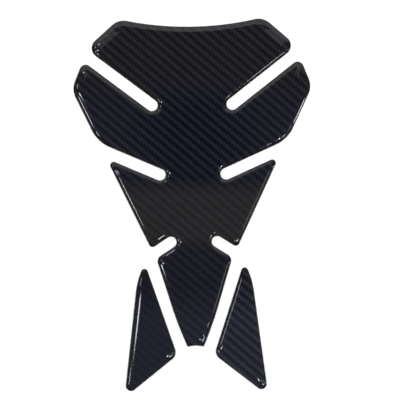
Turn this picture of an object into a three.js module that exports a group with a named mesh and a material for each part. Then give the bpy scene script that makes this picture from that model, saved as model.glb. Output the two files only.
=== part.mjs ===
import * as THREE from "three";

// A three-piece domed tank pad lying on its adhesive side: a centre pad and a fin at each side of its tail.
// Sizes are in millimetres, angles in degrees. X runs across the pad, Y from the tail to the wide top edge
// and Z away from the tank. Y is measured here from the corners of the tail's end, X from the middle line.

// Main sizes: across the wings' corners, and from the tail's end to the top corners
const wingSpan = 142.7;
const padLength = 194.9;

// Thickness, and the slopes of the resin's rim at its foot and where it meets the flat top
const filmThickness = 0.25;
const domeThickness = 2.0;
const edgeWall = 0.2;
const edgeSlope = 66;
const flatSlope = 7;

// Top edge of the centre pad, which dips in the middle
const topCornerX = 0.301 * wingSpan;
const topCornerRadius = 10.5;
const topDip = 5.0;

// Upper relief cut, between the shoulder and the wing
const upperCutX = 0.148 * wingSpan;
const upperCutY = 0.726 * padLength;
const upperCutAngle = 37.5;
const upperCutWidth = 7.0;
const shoulderReach = 0.384 * wingSpan;
const shoulderRadius = 5.9;
const wingTopReach = 0.364 * wingSpan;
const wingTopRadius = 3.6;

// Outer corner of the wing
const wingCornerY = 0.788 * padLength;
const wingCornerRadius = 11.8;

// Lower relief cut, between the wing and the arm
const lowerCutX = 0.116 * wingSpan;
const lowerCutY = 0.518 * padLength;
const lowerCutAngle = 23.7;
const lowerCutWidth = 6.9;
const wingBottomReach = 0.316 * wingSpan;
const wingBottomRadius = 21.3;
const armTipReach = 0.256 * wingSpan;
const armTipRadius = 2.1;

// Notch between the arm and the tail
const notchX = 0.077 * wingSpan;
const notchY = 0.328 * padLength;
const notchAngle = -32.7;
const notchWidth = 6.6;
const armBottomReach = 0.107 * wingSpan;
const armBottomRadius = 2.3;
const tailShoulderReach = 0.111 * wingSpan;
const tailShoulderRadius = 4.0;

// Tail, with a slight bend in its flank and a slight dip in its end
const tailBendX = 0.077 * wingSpan;
const tailBendY = 0.077 * padLength;
const tailBendRadius = 200;
const tailEndX = 0.034 * wingSpan;
const tailEndRadius = 0.65;
const tailEndDip = 0.85;
const tailEndDipRadius = 20;

// Fin, set off from the tail's flank
const finGap = 7.4;
const finTipLead = 0.1;
const finTipRadius = 2.0;
const finInnerEdge = 0.299 * padLength;
const finHeelRadius = 5.5;
const finBottomEdge = 0.283 * wingSpan;
const finBottomAngle = -38.2;
const finToeRadius = 3.2;
const finShoulderEdge = 12.6;
const finShoulderAngle = -68;
const finShoulderRadius = 45;

// Fineness of the curves, and how near the rim may come to where a side shrinks to nothing
const curveTolerance = 0.03;
const smallestRadius = 0.4;
const topEdgeSteps = 10;
const rimRings = 7;
const rimShareOfDeepest = 0.85;

const radians = THREE.MathUtils.degToRad;

function corner(x, y, radius) {
  return { point: new THREE.Vector2(x, y), radius };
}

function heading(angle) {
  return new THREE.Vector2(Math.cos(radians(angle)), Math.sin(radians(angle)));
}

function leftOf(direction) {
  return new THREE.Vector2(-direction.y, direction.x);
}

// A cut from the side has a round end at (x, y) and opens outwards at an angle. Its corners are the outer
// one below it, the two of its round end and the outer one above it.
function cutCorners(x, y, angle, width, below, above) {
  const along = heading(angle);
  const across = leftOf(along).multiplyScalar(width / 2);
  const place = (reach, side, radius) => {
    const point = new THREE.Vector2(x, y).addScaledVector(along, reach).addScaledVector(across, side);
    return { point, radius };
  };
  return [
    place(below.reach, -1, below.radius),
    place(0, -1, width / 2),
    place(0, 1, width / 2),
    place(above.reach, 1, above.radius),
  ];
}

function upperCut() {
  const below = { reach: wingTopReach, radius: wingTopRadius };
  const above = { reach: shoulderReach, radius: shoulderRadius };
  return cutCorners(upperCutX, upperCutY, upperCutAngle, upperCutWidth, below, above);
}

function lowerCut() {
  const below = { reach: armTipReach, radius: armTipRadius };
  const above = { reach: wingBottomReach, radius: wingBottomRadius };
  return cutCorners(lowerCutX, lowerCutY, lowerCutAngle, lowerCutWidth, below, above);
}

function notch() {
  const below = { reach: tailShoulderReach, radius: tailShoulderRadius };
  const above = { reach: armBottomReach, radius: armBottomRadius };
  return cutCorners(notchX, notchY, notchAngle, notchWidth, below, above);
}

// The top edge between its two corners, from right to left: a parabola that dips in the middle.
function topEdge() {
  const points = [];
  for (let step = 1; step < topEdgeSteps; step += 1) {
    const across = 1 - (2 * step) / topEdgeSteps;
    points.push(corner(across * topCornerX, padLength - topDip * (1 - across ** 2), 0));
  }
  return points;
}

function mirrored(corners) {
  return corners.map(({ point, radius }) => corner(-point.x, point.y, radius)).reverse();
}

// The centre pad's corners anticlockwise, from the tail's end up the right side and down the left.
function centreCorners() {
  const rightSide = [
    corner(tailEndX, 0, tailEndRadius),
    corner(tailBendX, tailBendY, tailBendRadius),
    ...notch(),
    ...lowerCut(),
    corner(wingSpan / 2, wingCornerY, wingCornerRadius),
    ...upperCut(),
    corner(topCornerX, padLength, topCornerRadius),
  ];
  const tailEndMiddle = corner(0, tailEndDip, tailEndDipRadius);
  return [...rightSide, ...topEdge(), ...mirrored(rightSide), tailEndMiddle];
}

// The right fin's corners anticlockwise. Its inner edge runs along the tail's flank, one gap away.
function finCorners() {
  const shoulder = notch()[0].point;
  const tailEnd = new THREE.Vector2(tailEndX, 0);
  const downFlank = tailEnd.sub(shoulder).normalize();
  const gapStart = shoulder.clone().addScaledVector(leftOf(downFlank), finGap);
  const tip = gapStart.clone().addScaledVector(downFlank, -finTipLead);
  const heel = tip.clone().addScaledVector(downFlank, finInnerEdge);
  const toe = heel.clone().addScaledVector(heading(finBottomAngle), finBottomEdge);
  const bend = tip.clone().addScaledVector(heading(finShoulderAngle), finShoulderEdge);
  return [
    { point: tip, radius: finTipRadius },
    { point: heel, radius: finHeelRadius },
    { point: toe, radius: finToeRadius },
    { point: bend, radius: finShoulderRadius },
  ];
}

// For each corner of an anticlockwise outline: its turn, and how fast its sides shorten there and in which
// direction it goes as the outline moves inwards.
function cornerTurns(corners) {
  return corners.map(({ point, radius }, at) => {
    const before = corners[(at + corners.length - 1) % corners.length].point;
    const after = corners[(at + 1) % corners.length].point;
    const arriving = point.clone().sub(before).normalize();
    const leaving = after.clone().sub(point).normalize();
    const turn = Math.atan2(arriving.cross(leaving), arriving.dot(leaving));
    const inwards = leftOf(arriving).add(leftOf(leaving)).divideScalar(1 + Math.cos(turn));
    return { point, radius, turn, inwards, shortening: Math.tan(turn / 2), arriving, leaving };
  });
}

// How far the outline can move inwards before one of its sides has shrunk to nothing.
function deepestInset(turns) {
  const depths = turns.map(({ point, shortening }, at) => {
    const next = turns[(at + 1) % turns.length];
    const rate = shortening + next.shortening;
    return rate > 0 ? point.distanceTo(next.point) / rate : Infinity;
  });
  return Math.min(...depths);
}

function arcSteps({ turn, radius }) {
  if (radius === 0) return 0;
  const stepAngle = 2 * Math.acos(1 - curveTolerance / Math.max(radius, smallestRadius));
  return Math.max(2, Math.ceil(Math.abs(turn) / stepAngle));
}

// The outline moved inwards, with an arc in each corner. A corner that points out gets a smaller arc and
// one that points in a larger arc, and two arcs on one side share it when it is too short for both.
function insetOutline(turns, inset) {
  const moved = turns.map(({ point, inwards }) => point.clone().addScaledVector(inwards, inset));
  const wanted = turns.map(({ turn, radius }) => {
    if (radius === 0) return 0;
    const arcRadius = Math.max(smallestRadius, radius - Math.sign(turn) * inset);
    return arcRadius * Math.abs(Math.tan(turn / 2));
  });
  const room = moved.map((point, at) => {
    const next = (at + 1) % moved.length;
    return Math.min(1, point.distanceTo(moved[next]) / Math.max(wanted[at] + wanted[next], 1e-9));
  });
  return turns.flatMap((place, at) => {
    const shared = Math.min(room[at], room[(at + room.length - 1) % room.length]);
    return cornerArc(place, moved[at], wanted[at] * shared);
  });
}

// The points of one corner's arc, which touches both sides at a distance of setback from the corner.
function cornerArc(place, vertex, setback) {
  const steps = arcSteps(place);
  if (steps === 0) return [vertex];
  const start = vertex.clone().addScaledVector(place.arriving, -setback);
  const arcRadius = setback / Math.abs(Math.tan(place.turn / 2));
  const towardsCentre = leftOf(place.arriving).multiplyScalar(Math.sign(place.turn));
  const centre = start.clone().addScaledVector(towardsCentre, arcRadius);
  const points = [];
  for (let step = 0; step <= steps; step += 1) {
    points.push(start.clone().rotateAround(centre, (place.turn * step) / steps));
  }
  return points;
}

// The rim of cast resin, from its steep foot to where it has all but levelled out. It is the edge curve of
// a wide puddle, given by its slope: each step has its inset from the edge and its height over the foot.
function rimProfile() {
  const foot = radians(edgeSlope) / 2;
  const last = radians(flatSlope) / 2;
  const curl = (domeThickness - edgeWall) / (2 * (Math.sin(foot) - Math.sin(last)));
  const run = (half) => Math.log(Math.tan(half / 2)) + 2 * Math.cos(half);
  const steps = [];
  for (let ring = 0; ring <= rimRings; ring += 1) {
    const half = foot * (last / foot) ** (ring / rimRings);
    const inset = curl * (run(foot) - run(half));
    steps.push({ inset, height: 2 * curl * (Math.sin(foot) - Math.sin(half)) });
  }
  return steps;
}

// The places in a ring where two arcs meet, as in a cut's round end, hold the same point twice.
function distinctPlaces(ring) {
  const apart = (point, at) => point.distanceTo(ring[(at + ring.length - 1) % ring.length]) > 1e-6;
  return ring.map((point, at) => (apart(point, at) ? at : -1)).filter((at) => at >= 0);
}

// A closed solid through level rings with equal numbers of points, flat at the bottom and the top.
function solidThroughRings(rings) {
  const count = rings[0].points.length;
  const positions = rings.flatMap(({ points, z }) => points.flatMap(({ x, y }) => [x, y, z]));
  const faces = [];
  for (let ring = 0; ring + 1 < rings.length; ring += 1) {
    for (let at = 0; at < count; at += 1) {
      const low = ring * count + at;
      const lowNext = ring * count + ((at + 1) % count);
      faces.push(low, lowNext, lowNext + count, low, lowNext + count, low + count);
    }
  }
  const topStart = (rings.length - 1) * count;
  THREE.ShapeUtils.triangulateShape(rings[0].points, []).forEach(([a, b, c]) => faces.push(a, c, b));
  THREE.ShapeUtils.triangulateShape(rings.at(-1).points, []).forEach(([a, b, c]) => {
    faces.push(topStart + a, topStart + b, topStart + c);
  });
  const geometry = new THREE.BufferGeometry();
  geometry.setAttribute("position", new THREE.Float32BufferAttribute(positions, 3));
  geometry.setIndex(faces);
  geometry.computeVertexNormals();
  return geometry;
}

// Printed self-adhesive vinyl, cut to the pad's outline.
function filmGeometry(edge) {
  return solidThroughRings([
    { points: edge, z: 0 },
    { points: edge, z: filmThickness },
  ]);
}

// Resin cast on the film up to its cut edge.
function domeGeometry(corners, edge, keep) {
  const turns = cornerTurns(corners);
  const profile = rimProfile();
  const reach = (rimShareOfDeepest * deepestInset(turns)) / profile.at(-1).inset;
  const narrowing = Math.min(1, reach);
  const rings = profile.map(({ inset, height }) => {
    const ring = insetOutline(turns, inset * narrowing);
    return { points: keep.map((at) => ring[at]), z: filmThickness + edgeWall + height };
  });
  return solidThroughRings([{ points: edge, z: filmThickness }, ...rings]);
}

function filmMaterial() {
  return new THREE.MeshStandardMaterial({ color: 0x16171a, roughness: 0.5, metalness: 0 });
}

function domeMaterial() {
  return new THREE.MeshStandardMaterial({ color: 0x1c1d21, roughness: 0.08, metalness: 0 });
}

function named(geometry, material, name) {
  const mesh = new THREE.Mesh(geometry, material);
  mesh.name = name;
  return mesh;
}

function padMeshes(name, corners) {
  const outline = insetOutline(cornerTurns(corners), 0);
  const keep = distinctPlaces(outline);
  const edge = keep.map((at) => outline[at]);
  return [
    named(filmGeometry(edge), filmMaterial(), `${name}_film`),
    named(domeGeometry(corners, edge, keep), domeMaterial(), `${name}_dome`),
  ];
}

// The three pads, with the origin under the middle of the whole set.
function tankPad() {
  const group = new THREE.Group();
  group.add(...padMeshes("centre", centreCorners()));
  group.add(...padMeshes("left_fin", mirrored(finCorners())));
  group.add(...padMeshes("right_fin", finCorners()));
  const middle = new THREE.Box3().setFromObject(group).getCenter(new THREE.Vector3());
  group.children.forEach((mesh) => mesh.geometry.translate(-middle.x, -middle.y, 0));
  return group;
}

export default tankPad();
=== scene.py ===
import math

import bpy
import numpy as np
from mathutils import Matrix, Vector, geometry, kdtree


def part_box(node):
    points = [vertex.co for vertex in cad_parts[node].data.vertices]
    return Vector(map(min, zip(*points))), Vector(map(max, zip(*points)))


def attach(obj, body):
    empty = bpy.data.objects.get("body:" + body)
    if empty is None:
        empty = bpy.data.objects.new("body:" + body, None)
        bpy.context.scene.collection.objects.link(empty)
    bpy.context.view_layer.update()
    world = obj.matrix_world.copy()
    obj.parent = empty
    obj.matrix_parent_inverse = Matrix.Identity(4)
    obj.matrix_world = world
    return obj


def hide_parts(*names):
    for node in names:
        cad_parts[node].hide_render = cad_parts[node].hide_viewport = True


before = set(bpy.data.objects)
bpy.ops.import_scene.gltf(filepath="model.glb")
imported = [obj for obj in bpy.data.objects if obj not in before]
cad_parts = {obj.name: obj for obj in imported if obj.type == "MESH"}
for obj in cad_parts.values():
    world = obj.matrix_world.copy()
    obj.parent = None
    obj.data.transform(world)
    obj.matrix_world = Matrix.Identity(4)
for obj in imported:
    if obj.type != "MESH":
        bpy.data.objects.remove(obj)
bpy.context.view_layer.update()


# Cast domes. Clear polyurethane resin is poured on each printed film, runs out to its cut edge and stops.
# Its own skin pulls the rim round and the middle levels out, then it sets hard and very glossy. So the
# surface is solved as a liquid's, pinned all round the edge, with its weight and its skin in balance.
pads = ("centre", "left_fin", "right_fin")
millimetre = 0.001

# Sizes of the resin in millimetres, and the turn from which an edge of it counts as sharp. The longer the
# skin's length is, the wider is the round rim.
skin_length = 1.86
foot_height = 0.2
sharp_turn = math.radians(22)

# How the edge is read from the CAD dome, in millimetres, and rounded. A chord that is this many times as
# long as the next one is a straight side, and the shorter one belongs to an arc.
level_tolerance = 0.01
corner_digits = 3
straight_ratio = 2.5
edge_spacing = 0.45
least_steps = 2

# Rings of points follow the edge at these depths, and even rows fill the middle. A ring leaves out points
# that come nearer to the edge than its depth. The other clearances, to the rings before it and to the last
# few points of its own, are shares of the step from the ring before.
ring_depths = (0.12, 0.27, 0.45, 0.66, 0.92, 1.25, 1.65, 2.15, 2.8, 3.6, 4.6, 5.8)
edge_clearance = 0.985
ring_clearance = 0.55
neighbour_clearance = 0.35
neighbours = 8
middle_spacing = 1.5
even_triangle = math.sqrt(0.75)

# The triangulation keeps what is inside the outline and merges points that are closer than this.
inside_only = 1
merge_distance = 1e-5

# Rounds that follow the skin's slope, and the steps and the remainder at which each round's solution ends.
skin_rounds = 6
solver_steps = 400
solver_remainder = 1e-14


def cut_edge(node):
    """The outline of a CAD dome's flat bottom, in millimetres, anticlockwise."""
    mesh = node.data
    places = np.array([v.co for v in mesh.vertices]) / millimetre
    floor = places[:, 2].min()
    sides = set()
    for face in mesh.polygons:
        if all(abs(places[v][2] - floor) < level_tolerance for v in face.vertices):
            corners = [tuple(np.round(places[v][:2], corner_digits)) for v in face.vertices]
            sides.update(zip(corners, corners[1:] + corners[:1]))
    following = {a: b for a, b in sides if (b, a) not in sides}
    start = min(following)
    loop = [start]
    while following[loop[-1]] != start:
        loop.append(following[loop[-1]])
    loop = np.array(loop)
    area = np.cross(loop, np.roll(loop, -1, axis=0)).sum()
    return loop if area > 0 else loop[::-1]


def smooth_edge(loop):
    """Points along the outline, with its short chords bent into the arcs that they stand for."""
    after = np.roll(loop, -1, axis=0) - loop
    length = np.hypot(*after.T)
    before_length = np.roll(length, 1)
    leaving = after / length[:, None]
    arriving = np.roll(leaving, 1, axis=0)
    tangent = leaving + arriving
    straight_ahead = length > straight_ratio * before_length
    straight_behind = before_length > straight_ratio * length
    tangent[straight_ahead] = leaving[straight_ahead]
    tangent[straight_behind] = arriving[straight_behind]
    tangent /= np.hypot(*tangent.T)[:, None]
    points = []
    for at, start in enumerate(loop):
        steps = max(least_steps, math.ceil(length[at] / edge_spacing))
        end = loop[(at + 1) % len(loop)]
        reach = length[at]
        for t in np.arange(steps) / steps:
            points.append(
                (2 * t**3 - 3 * t**2 + 1) * start
                + (t**3 - 2 * t**2 + t) * reach * tangent[at]
                + (3 * t**2 - 2 * t**3) * end
                + (t**3 - t**2) * reach * tangent[(at + 1) % len(loop)]
            )
    return np.clip(points, loop.min(axis=0), loop.max(axis=0))


def inner_points(edge):
    """Points inside the outline, in rows close together at the rim and further apart in the middle."""
    side = np.roll(edge, -1, axis=0) - np.roll(edge, 1, axis=0)
    inwards = np.stack([-side[:, 1], side[:, 0]], axis=1) / np.hypot(*side.T)[:, None]
    from_edge = kdtree.KDTree(len(edge))
    for at, point in enumerate(edge):
        from_edge.insert((*point, 0), at)
    from_edge.balance()
    taken = []
    for row, depth in enumerate(ring_depths):
        gap = depth - (ring_depths[row - 1] if row else 0)
        stride = max(1, round(gap / edge_spacing))
        near = kdtree.KDTree(max(1, len(taken)))
        for at, point in enumerate(taken):
            near.insert((*point, 0), at)
        near.balance()
        fresh = []
        for point in (edge + depth * inwards)[::stride]:
            if from_edge.find((*point, 0))[2] < edge_clearance * depth:
                continue
            if taken and near.find((*point, 0))[2] < ring_clearance * gap:
                continue
            recent = np.array(fresh[-neighbours:])
            if fresh and np.hypot(*(recent - point).T).min() < neighbour_clearance * gap:
                continue
            fresh.append(point)
        taken += fresh
    low, high = edge.min(axis=0), edge.max(axis=0)
    for row, y in enumerate(np.arange(low[1], high[1], middle_spacing * even_triangle)):
        for x in np.arange(low[0] + middle_spacing * (row % 2) / 2, high[0], middle_spacing):
            if from_edge.find((x, y, 0))[2] > ring_depths[-1] + middle_spacing / 2:
                taken.append(np.array((x, y)))
    return np.array(taken)


def fill(edge, inside):
    """Triangles between the edge's points and those inside it, and where each point of the edge went."""
    points = [Vector(p) for p in [*edge, *inside]]
    outline = list(range(len(edge)))
    places, _, faces, origins, _, _ = geometry.delaunay_2d_cdt(
        points, [], [outline], inside_only, merge_distance)
    used, triangles = np.unique(np.array(faces), return_inverse=True)
    place = {given: at for at, kept in enumerate(used) for given in origins[kept]}
    kept_points = np.array([tuple(places[kept]) for kept in used])
    return kept_points, triangles.reshape(-1, 3), [place[n] for n in outline]


def skin_heights(points, triangles, pinned, height):
    """Heights of a liquid's skin over the points, with none at the pinned ones and all of it far inside."""
    corners = points[triangles]
    sides = corners[:, [2, 0, 1]] - corners[:, [1, 2, 0]]
    area = np.abs(np.cross(sides[:, 0], sides[:, 1])) / 2
    products = -np.einsum("tij,tij->ti", sides[:, [1, 2, 0]], sides[:, [2, 0, 1]])
    cotangents = products / (4 * area[:, None])
    slopes = np.stack([-sides[:, :, 1], sides[:, :, 0]], axis=2) / (2 * area[:, None, None])
    weight = np.bincount(triangles.ravel(), np.repeat(area / 3, 3), len(points))
    ends_a, ends_b = triangles[:, [1, 2, 0]].ravel(), triangles[:, [2, 0, 1]].ravel()
    free = np.ones(len(points))
    free[pinned] = 0
    heights = np.zeros(len(points))
    for _ in range(skin_rounds):
        gradient = np.einsum("tij,ti->tj", slopes, heights[triangles])
        stretch = 1 / np.sqrt(1 + (gradient**2).sum(axis=1))
        pull = (skin_length**2 * cotangents * stretch[:, None]).ravel()
        own = np.bincount(ends_a, pull, len(points)) + np.bincount(ends_b, pull, len(points)) + weight

        def balance(h):
            flow = pull * (h[ends_a] - h[ends_b])
            given = np.bincount(ends_a, flow, len(points)) - np.bincount(ends_b, flow, len(points))
            return free * (given + weight * h)

        # Conjugate gradients, with each point scaled by its own share of the pull.
        left = free * (weight * height) - balance(heights)
        step = left / own
        size = left @ step
        for _ in range(solver_steps):
            moved = balance(step)
            share = size / (step @ moved)
            heights += share * step
            left -= share * moved
            spread = left / own
            size, previous = left @ spread, size
            if size < solver_remainder:
                break
            step = spread + size / previous * step
    return heights


def dome_piece(pad):
    """One pad's resin: a flat bottom on the film, a low upright foot at the edge and the solved surface."""
    low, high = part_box(f"{pad}_dome")
    bottom = low.z / millimetre
    height = (high.z - low.z) / millimetre - foot_height
    edge = smooth_edge(cut_edge(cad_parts[f"{pad}_dome"]))
    points, triangles, rim = fill(edge, inner_points(edge))
    heights = skin_heights(points, triangles, rim, height)
    under_points, under_triangles, under_rim = fill(edge, [])
    above = np.column_stack([points, bottom + foot_height + heights])
    below = np.column_stack([under_points, np.full(len(under_points), bottom)])
    faces = [tuple(t) for t in triangles]
    faces += [tuple(t[::-1] + len(above)) for t in under_triangles]
    lower_rim = [len(above) + at for at in under_rim]
    faces += zip(lower_rim, lower_rim[1:] + lower_rim[:1], rim[1:] + rim[:1], rim)
    mesh = bpy.data.meshes.new(f"{pad}_resin")
    mesh.from_pydata([tuple(p) for p in np.vstack([above, below]) * millimetre], [], faces)
    mesh.polygons.foreach_set("use_smooth", [True] * len(mesh.polygons))
    mesh.set_sharp_from_angle(angle=sharp_turn)
    mesh.update()
    piece = bpy.data.objects.new(f"{pad}_resin", mesh)
    bpy.context.scene.collection.objects.link(piece)
    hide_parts(f"{pad}_dome")
    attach(piece, "root")
    return piece


domes = [dome_piece(pad) for pad in pads]


# Printed twill. The resin is clear, so the print under it shows: a two-by-two twill of flat tows. Each goes
# over two and under two of the others, and its neighbour starts a step further on. It lies a little askew,
# and each pad is cut from another place of it. The steep rim bends the view off the print and looks black,
# and that black is painted into the colour near the edge.

# The weave. Its pitches are millimetres, and a pad's shift is a count of tows. It repeats after four turns:
# 0 and 1 have the warp on top, and 2 and 3 the weft.
warp_pitch = 1.6323
weft_pitch = 1.3823
print_turn = math.radians(0.85)
band_shifts = {"centre": -0.54, "left_fin": 1.96, "right_fin": -0.95}
band_strengths = {"centre": 1.0, "left_fin": 0.32, "right_fin": 1.6}
weave_repeat = 4
warp_turns_end = 1.5
weft_tone = (0.0014, 0.0018, 0.0029, 1)
warp_tone = (0.0104, 0.0116, 0.0158, 1)

# A tow's relief: it bows along its float, is flat across with a dark gap at each side, and has long fibres.
float_bow = 0.3
side_power = 6
gap_shade = 0.62
fibres_across = 5.5
fibres_along = 0.6
fibre_detail = 2.0
fibre_least, fibre_spread = 0.7, 0.6

# Uneven tone, and a painted reflection. The two scales count the patches in a metre.
cloud_scale = 22.0
cloud_detail = 2.0
cloud_least, cloud_spread = 0.8, 0.4
fleck_scale = 330.0
fleck_detail = 1.0
fleck_least, fleck_spread = 0.75, 0.5
# Painted reflection: on the centre pad the weave's contrast fades below these heights, down to this share,
# as if a mirrored veil lay over it.
painted_veil_reach = (6.0, 27.0)
painted_veil_least = 0.66

# Painted reflection: a faint veil of mirrored light is added to the print's tone. There is none in a round
# middle, most at the waist and in the low part, and a browner one at the top. Places and reaches are
# millimetres.
open_painted_reflection = (0.0045, 0.0038, 0.0044, 1)
unreflected_tone = (0, 0, 0, 1)
unreflected_middle = (0, 43)
unreflected_reach = (8, 58)
waist_painted_reflection = (0.0125, 0.0115, 0.0080, 1)
waist_start = (-30, -16)
waist_end = (4, 18)
top_painted_reflection = (0.0045, 0.0032, 0.0013, 1)
top_reach = (56, 78)
low_painted_reflection = (0.0086, 0.0096, 0.0120, 1)
low_reach = (-70, -48)

# Painted shade: the steep rim, which bends the view off the print, is painted black in the colour. The
# black gives way to the print between these levels above the tank, in millimetres.
painted_rim_levels = (0.6, 1.5)
painted_rim_shade = (0.0045, 0.0046, 0.0056, 1)
resin_roughness = 0.05
resin_ior = 1.5


class Wire:
    """One output of a material's nodes. Arithmetic with it becomes Math nodes."""

    def __init__(self, nodes, socket):
        self.nodes, self.socket = nodes, socket

    def math(self, operation, *others):
        """A Math node of this operation, from this wire and the others."""
        return self.nodes.add("ShaderNodeMath", {"operation": operation}, (self, *others))

    def __add__(self, other):
        return self.math("ADD", other)

    def __sub__(self, other):
        return self.math("SUBTRACT", other)

    def __rsub__(self, other):
        return self.nodes.add("ShaderNodeMath", {"operation": "SUBTRACT"}, (other, self))

    def __mul__(self, other):
        return self.math("MULTIPLY", other)

    def __truediv__(self, other):
        return self.math("DIVIDE", other)

    def __rtruediv__(self, other):
        return self.nodes.add("ShaderNodeMath", {"operation": "DIVIDE"}, (other, self))

    __radd__ = __add__
    __rmul__ = __mul__


class Finish:
    """A material, or the world, and the nodes that it is made of."""

    # The places of a Mix node's sockets for colours, which share their names with its other sockets.
    mix_share, mix_first, mix_second = 0, 6, 7
    mix_result = 2

    def __init__(self, owner):
        self.owner = owner
        owner.use_nodes = True
        self.tree = owner.node_tree
        self.tree.nodes.clear()

    def add(self, kind, settings=None, sockets=(), output=0):
        """A node of this kind with its settings, and its sockets set to values or linked to wires."""
        node = self.tree.nodes.new(kind)
        for name, value in (settings or {}).items():
            setattr(node, name, value)
        pairs = sockets.items() if isinstance(sockets, dict) else enumerate(sockets)
        for name, value in pairs:
            if isinstance(value, Wire):
                self.tree.links.new(value.socket, node.inputs[name])
            else:
                node.inputs[name].default_value = value
        return Wire(self, node.outputs[output])

    def blend(self, share, first, second):
        """The first colour where the share is nothing, and the second where it is one."""
        settings = {"data_type": "RGBA", "clamp_factor": False}
        sockets = {self.mix_share: share, self.mix_first: first, self.mix_second: second}
        return self.add("ShaderNodeMix", settings, sockets, self.mix_result)

    def change(self, value, start, end):
        """Nothing up to the start, one from the end on, and a smooth rise in between."""
        settings = {"interpolation_type": "SMOOTHSTEP"}
        return self.add("ShaderNodeMapRange", settings, (value, start, end, 0.0, 1.0))

    def surface(self, shader):
        """Gives the shader to the material's or the world's output, and returns the owner."""
        is_world = isinstance(self.owner, bpy.types.World)
        output = self.tree.nodes.new("ShaderNodeOutputWorld" if is_world else "ShaderNodeOutputMaterial")
        self.tree.links.new(shader.socket, output.inputs["Surface"])
        return self.owner


def twill_under_resin(pad):
    """The print of one pad, seen through its glossy resin, with a painted reflection and a painted black
    rim in its colour.
    """
    finish = Finish(bpy.data.materials.new(f"{pad}_twill_under_resin"))
    place = finish.add("ShaderNodeTexCoord", output="Object")
    turned = finish.add(
        "ShaderNodeVectorRotate", {"rotation_type": "Z_AXIS"}, {"Vector": place, "Angle": print_turn})
    x, y, z = (
        finish.add("ShaderNodeSeparateXYZ", {}, (turned,), output=axis) / millimetre for axis in range(3))

    # Which tow lies on top, and how far along and across it the point is.
    across = x / warp_pitch + band_shifts[pad]
    down = 0 - y / weft_pitch
    column, row = across.math("FLOOR"), down.math("FLOOR")
    u, v = across - column, down - row
    turn = (column - row).math("FLOORED_MODULO", weave_repeat)
    warp = turn.math("LESS_THAN", warp_turns_end)
    weft = 1 - warp
    along = warp * (1 - turn + v) + weft * (turn - 2 + u)
    side = warp * u + weft * v

    # The tows' relief and tone.
    hump = 1 - (along - 1).math("POWER", 2) * float_bow
    flat = 1 - (side * 2 - 1).math("POWER", side_power)
    grain_x = x * (warp * fibres_across + weft * fibres_along)
    grain_y = y * (warp * fibres_along + weft * fibres_across)
    grain = finish.add("ShaderNodeCombineXYZ", {}, (grain_x, grain_y, turn))
    fibres = finish.add(
        "ShaderNodeTexNoise", {}, {"Vector": grain, "Scale": 1.0, "Detail": fibre_detail})
    cloud = finish.add(
        "ShaderNodeTexNoise", {}, {"Vector": turned, "Scale": cloud_scale, "Detail": cloud_detail})
    flecks = finish.add(
        "ShaderNodeTexNoise", {}, {"Vector": turned, "Scale": fleck_scale, "Detail": fleck_detail})
    # Painted reflection: the weave's contrast fades towards the centre pad's waist.
    painted_veil_contrast = finish.change(y, *painted_veil_reach) * (1 - painted_veil_least) + painted_veil_least
    strength = band_strengths[pad] * (cloud_least + cloud * cloud_spread)
    strength = strength * (painted_veil_contrast if pad == "centre" else 1)
    relief = (gap_shade + (1 - gap_shade) * flat) * hump
    relief = relief * (fibre_least + fibres * fibre_spread) * (fleck_least + flecks * fleck_spread)
    tow = finish.blend(warp * relief * strength, weft_tone, warp_tone)

    # The painted reflection over the print, and the painted shade of the black rim.
    middle_x, middle_y = unreflected_middle
    from_middle = ((x - middle_x).math("POWER", 2) + (y - middle_y).math("POWER", 2)).math("SQRT")
    painted_reflection = finish.blend(finish.change(from_middle, *unreflected_reach), unreflected_tone, open_painted_reflection)
    painted_reflection = finish.blend(finish.change(y, *top_reach), painted_reflection, top_painted_reflection)
    waist = finish.change(y, *waist_start) * (1 - finish.change(y, *waist_end))
    painted_reflection = finish.blend(waist, painted_reflection, waist_painted_reflection)
    painted_reflection = finish.blend(finish.change(y, *low_reach), low_painted_reflection, painted_reflection)
    # The print's own tone with the painted reflection added to it.
    print_and_painted_reflection = finish.add("ShaderNodeVectorMath", {"operation": "ADD"}, (tow, painted_reflection))
    # Painted shade: the colour turns black low on the rim, near its foot.
    tone = finish.blend(finish.change(z, *painted_rim_levels), painted_rim_shade, print_and_painted_reflection)
    shader = finish.add(
        "ShaderNodeBsdfPrincipled", {},
        {"Base Color": tone, "Roughness": resin_roughness, "IOR": resin_ior})
    return finish.surface(shader)


for pad, dome in zip(pads, domes):
    dome.data.materials.append(twill_under_resin(pad))


# Printed films. Black vinyl a quarter of a millimetre thick carries the print, and the adhesive is on its
# back. A die cuts it to the pad's outline. Only its thin cut edge and its back are seen.
vinyl_dark = (0.010, 0.010, 0.012, 1)
vinyl_light = (0.020, 0.020, 0.022, 1)
mottle_scale = 180.0
mottle_detail = 4.0
vinyl_roughness, roughness_spread = 0.4, 0.2


def vinyl_back():
    """Matt black vinyl with a faint mottle."""
    finish = Finish(bpy.data.materials.new("vinyl_and_adhesive"))
    place = finish.add("ShaderNodeTexCoord", output="Object")
    mottle = finish.add(
        "ShaderNodeTexNoise", {}, {"Vector": place, "Scale": mottle_scale, "Detail": mottle_detail})
    tone = finish.blend(mottle, vinyl_dark, vinyl_light)
    rough = mottle * roughness_spread + vinyl_roughness
    shader = finish.add("ShaderNodeBsdfPrincipled", {}, {"Base Color": tone, "Roughness": rough})
    return finish.surface(shader)


vinyl = vinyl_back()
for pad in pads:
    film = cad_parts[f"{pad}_film"]
    film.material_slots[0].link = "OBJECT"
    film.material_slots[0].material = vinyl


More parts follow.
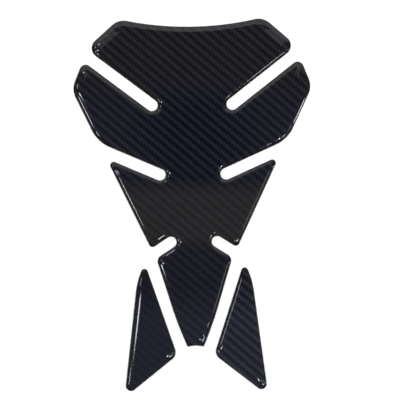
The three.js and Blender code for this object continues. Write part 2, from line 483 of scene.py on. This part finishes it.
# Studio. A pale floor with soft light from above. A dim panel beyond the wide top edge and two small ones
# at its corners make the grey band there, and each thin line of light on a rim is the mirror image of a
# small lamp of its own. Sizes and places are metres, and angles are degrees.
floor_size = 12.0
floor_tone = (0.98, 0.975, 0.955, 1)
floor_roughness = 0.8
floor_shine = 0.1
lavender = (0.90, 0.90, 1.0)
panel_tint = (0.93, 0.97, 1.0)

# The sky's tones, and how high a direction points where one gives way to the next: 0 is level, 1 is up.
horizon_tone = (1.0, 1.0, 1.0, 1)
wall_tone = (0.13, 0.13, 0.14, 1)
ceiling_tone = (0.06, 0.08, 0.15, 1)
pale_wall = (0.05, 0.30)
ceiling_rim = (0.93, 0.975)


def studio_floor():
    """A wide matt floor under the pads."""
    half = floor_size / 2
    corners = [(-half, -half, 0), (half, -half, 0), (half, half, 0), (-half, half, 0)]
    mesh = bpy.data.meshes.new("floor")
    mesh.from_pydata(corners, [], [(0, 1, 2, 3)])
    floor = bpy.data.objects.new("floor", mesh)
    bpy.context.scene.collection.objects.link(floor)
    finish = Finish(bpy.data.materials.new("pale_floor"))
    shader = finish.add(
        "ShaderNodeBsdfPrincipled", {},
        {"Base Color": floor_tone, "Roughness": floor_roughness, "Specular IOR Level": floor_shine})
    mesh.materials.append(finish.surface(shader))


def studio_sky():
    """White at the horizon, dim walls above it and a darker, bluish ceiling."""
    finish = Finish(bpy.data.worlds.new("studio"))
    direction = finish.add("ShaderNodeTexCoord", output="Generated")
    z = finish.add("ShaderNodeSeparateXYZ", {}, (direction,), output=2)
    tone = finish.blend(finish.change(z, *pale_wall), horizon_tone, wall_tone)
    tone = finish.blend(finish.change(z, *ceiling_rim), tone, ceiling_tone)
    sky = finish.add("ShaderNodeBackground", {}, {"Color": tone, "Strength": 1.0})
    bpy.context.scene.world = finish.surface(sky)


def lamp(name, facing, azimuth, elevation, distance, size, radiance, tint=(1, 1, 1), seen=True):
    """A flat lamp that faces a place on the pads, with its width level and its height up to the zenith."""
    width, height = size
    data = bpy.data.lights.new(name, "AREA")
    data.shape, data.size, data.size_y = "RECTANGLE", width, height
    data.energy = radiance * math.pi * width * height
    data.color = tint
    item = bpy.data.objects.new(name, data)
    bpy.context.scene.collection.objects.link(item)
    level = math.cos(math.radians(elevation))
    away = Vector((
        level * math.cos(math.radians(azimuth)),
        level * math.sin(math.radians(azimuth)),
        math.sin(math.radians(elevation)),
    ))
    item.location = Vector((*facing, 0)) + distance * away
    item.rotation_mode = "QUATERNION"
    item.rotation_quaternion = away.to_track_quat("Z", "Y")
    item.visible_glossy = seen
    item.visible_camera = False


def rim_lamp(name, facing, azimuth, elevation, **values):
    """A small lamp that the rim at this place mirrors straight up as a thin line."""
    lamp(name, facing, azimuth, elevation, tint=lavender, **values)


studio_floor()
studio_sky()
lamp("overhead", (0, 0), -90, 87, distance=1.6, size=(1.8, 1.8), radiance=2.06, seen=False)
lamp("top_panel", (0, 0), 90, 34, distance=0.43, size=(0.9, 0.34), radiance=0.85, tint=panel_tint)
for name, side, azimuth in (("left_corner_panel", -1, 135), ("right_corner_panel", 1, 45)):
    lamp(name, (side * 0.055, 0.098), azimuth, 70,
         distance=0.3, size=(0.06, 0.13), radiance=0.5, tint=panel_tint)
rim_lamp("left_wing_line", (-0.060, 0.055), -161.6, 52.2, distance=3.7, size=(0.20, 0.42), radiance=17)
rim_lamp("left_arm_line", (-0.035, 0.002), -156.8, 54.1, distance=0.59, size=(0.056, 0.027), radiance=26)
rim_lamp("left_notch_top", (-0.021, -0.017), -64.0, 62.3, distance=0.42, size=(0.014, 0.026), radiance=31)
rim_lamp("left_notch_foot", (-0.015, -0.031), 127, 54.8, distance=0.5, size=(0.0256, 0.018), radiance=24)
rim_lamp("tail_shoulder", (-0.017, -0.037), -162.3, 52.0, distance=0.72, size=(0.028, 0.0215), radiance=17)
rim_lamp("tail_spot_high", (0.006, -0.071), -27.3, 61.5, distance=0.42, size=(0.003, 0.026), radiance=24)
rim_lamp("tail_spot_low", (0.004, -0.078), -33.0, 63.8, distance=0.43, size=(0.003, 0.0135), radiance=60)
rim_lamp("right_slot_line", (0.047, 0.084), -43.8, 48.6, distance=1.54, size=(0.17, 0.064), radiance=38)
rim_lamp("right_wing_side", (0.063, 0.055), -21.5, 27.5, distance=0.80, size=(0.029, 0.075), radiance=56)
rim_lamp("right_wing_corner", (0.053, 0.042), -50.4, 58.1, distance=3.0, size=(0.09, 0.30), radiance=56)
rim_lamp("right_sides", (0, 0), -21.5, 49.0, distance=1.3, size=(0.14, 0.17), radiance=3)
rim_lamp("left_fin_line", (-0.031, -0.072), -177.6, 69.3, distance=5.0, size=(0.19, 0.6), radiance=18)
rim_lamp("right_fin_line", (0.023, -0.062), 164.6, 55.6, distance=4.0, size=(0.44, 0.2), radiance=14.5)


# Camera, straight above the pads, with its frame turned and placed as the photograph's is. The two pixels
# are where the middle of the pads' box is in that frame, and the pixel's size is millimetres.
photo_pixels = 400
pixel_size = 0.59257
pad_axis_pixel = 193.58
pad_middle_pixel = 204.86
pad_turn = math.radians(0.8485)
camera_height = 1.2
sensor_width = 36
camera_data = bpy.data.cameras.new("camera")
camera_data.sensor_width = sensor_width
view_width = photo_pixels * pixel_size * millimetre
surface_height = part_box("centre_dome")[1].z
camera_data.lens = sensor_width * (camera_height - surface_height) / view_width
camera = bpy.data.objects.new("camera", camera_data)
bpy.context.scene.collection.objects.link(camera)
right = (photo_pixels / 2 - pad_axis_pixel) * pixel_size * millimetre
up = (pad_middle_pixel - photo_pixels / 2) * pixel_size * millimetre
camera.location = (
    right * math.cos(pad_turn) + up * math.sin(pad_turn),
    up * math.cos(pad_turn) - right * math.sin(pad_turn),
    camera_height,
)
camera.rotation_euler = (0, 0, -pad_turn)
bpy.context.scene.camera = camera
bpy.context.scene.view_settings.view_transform = "Standard"
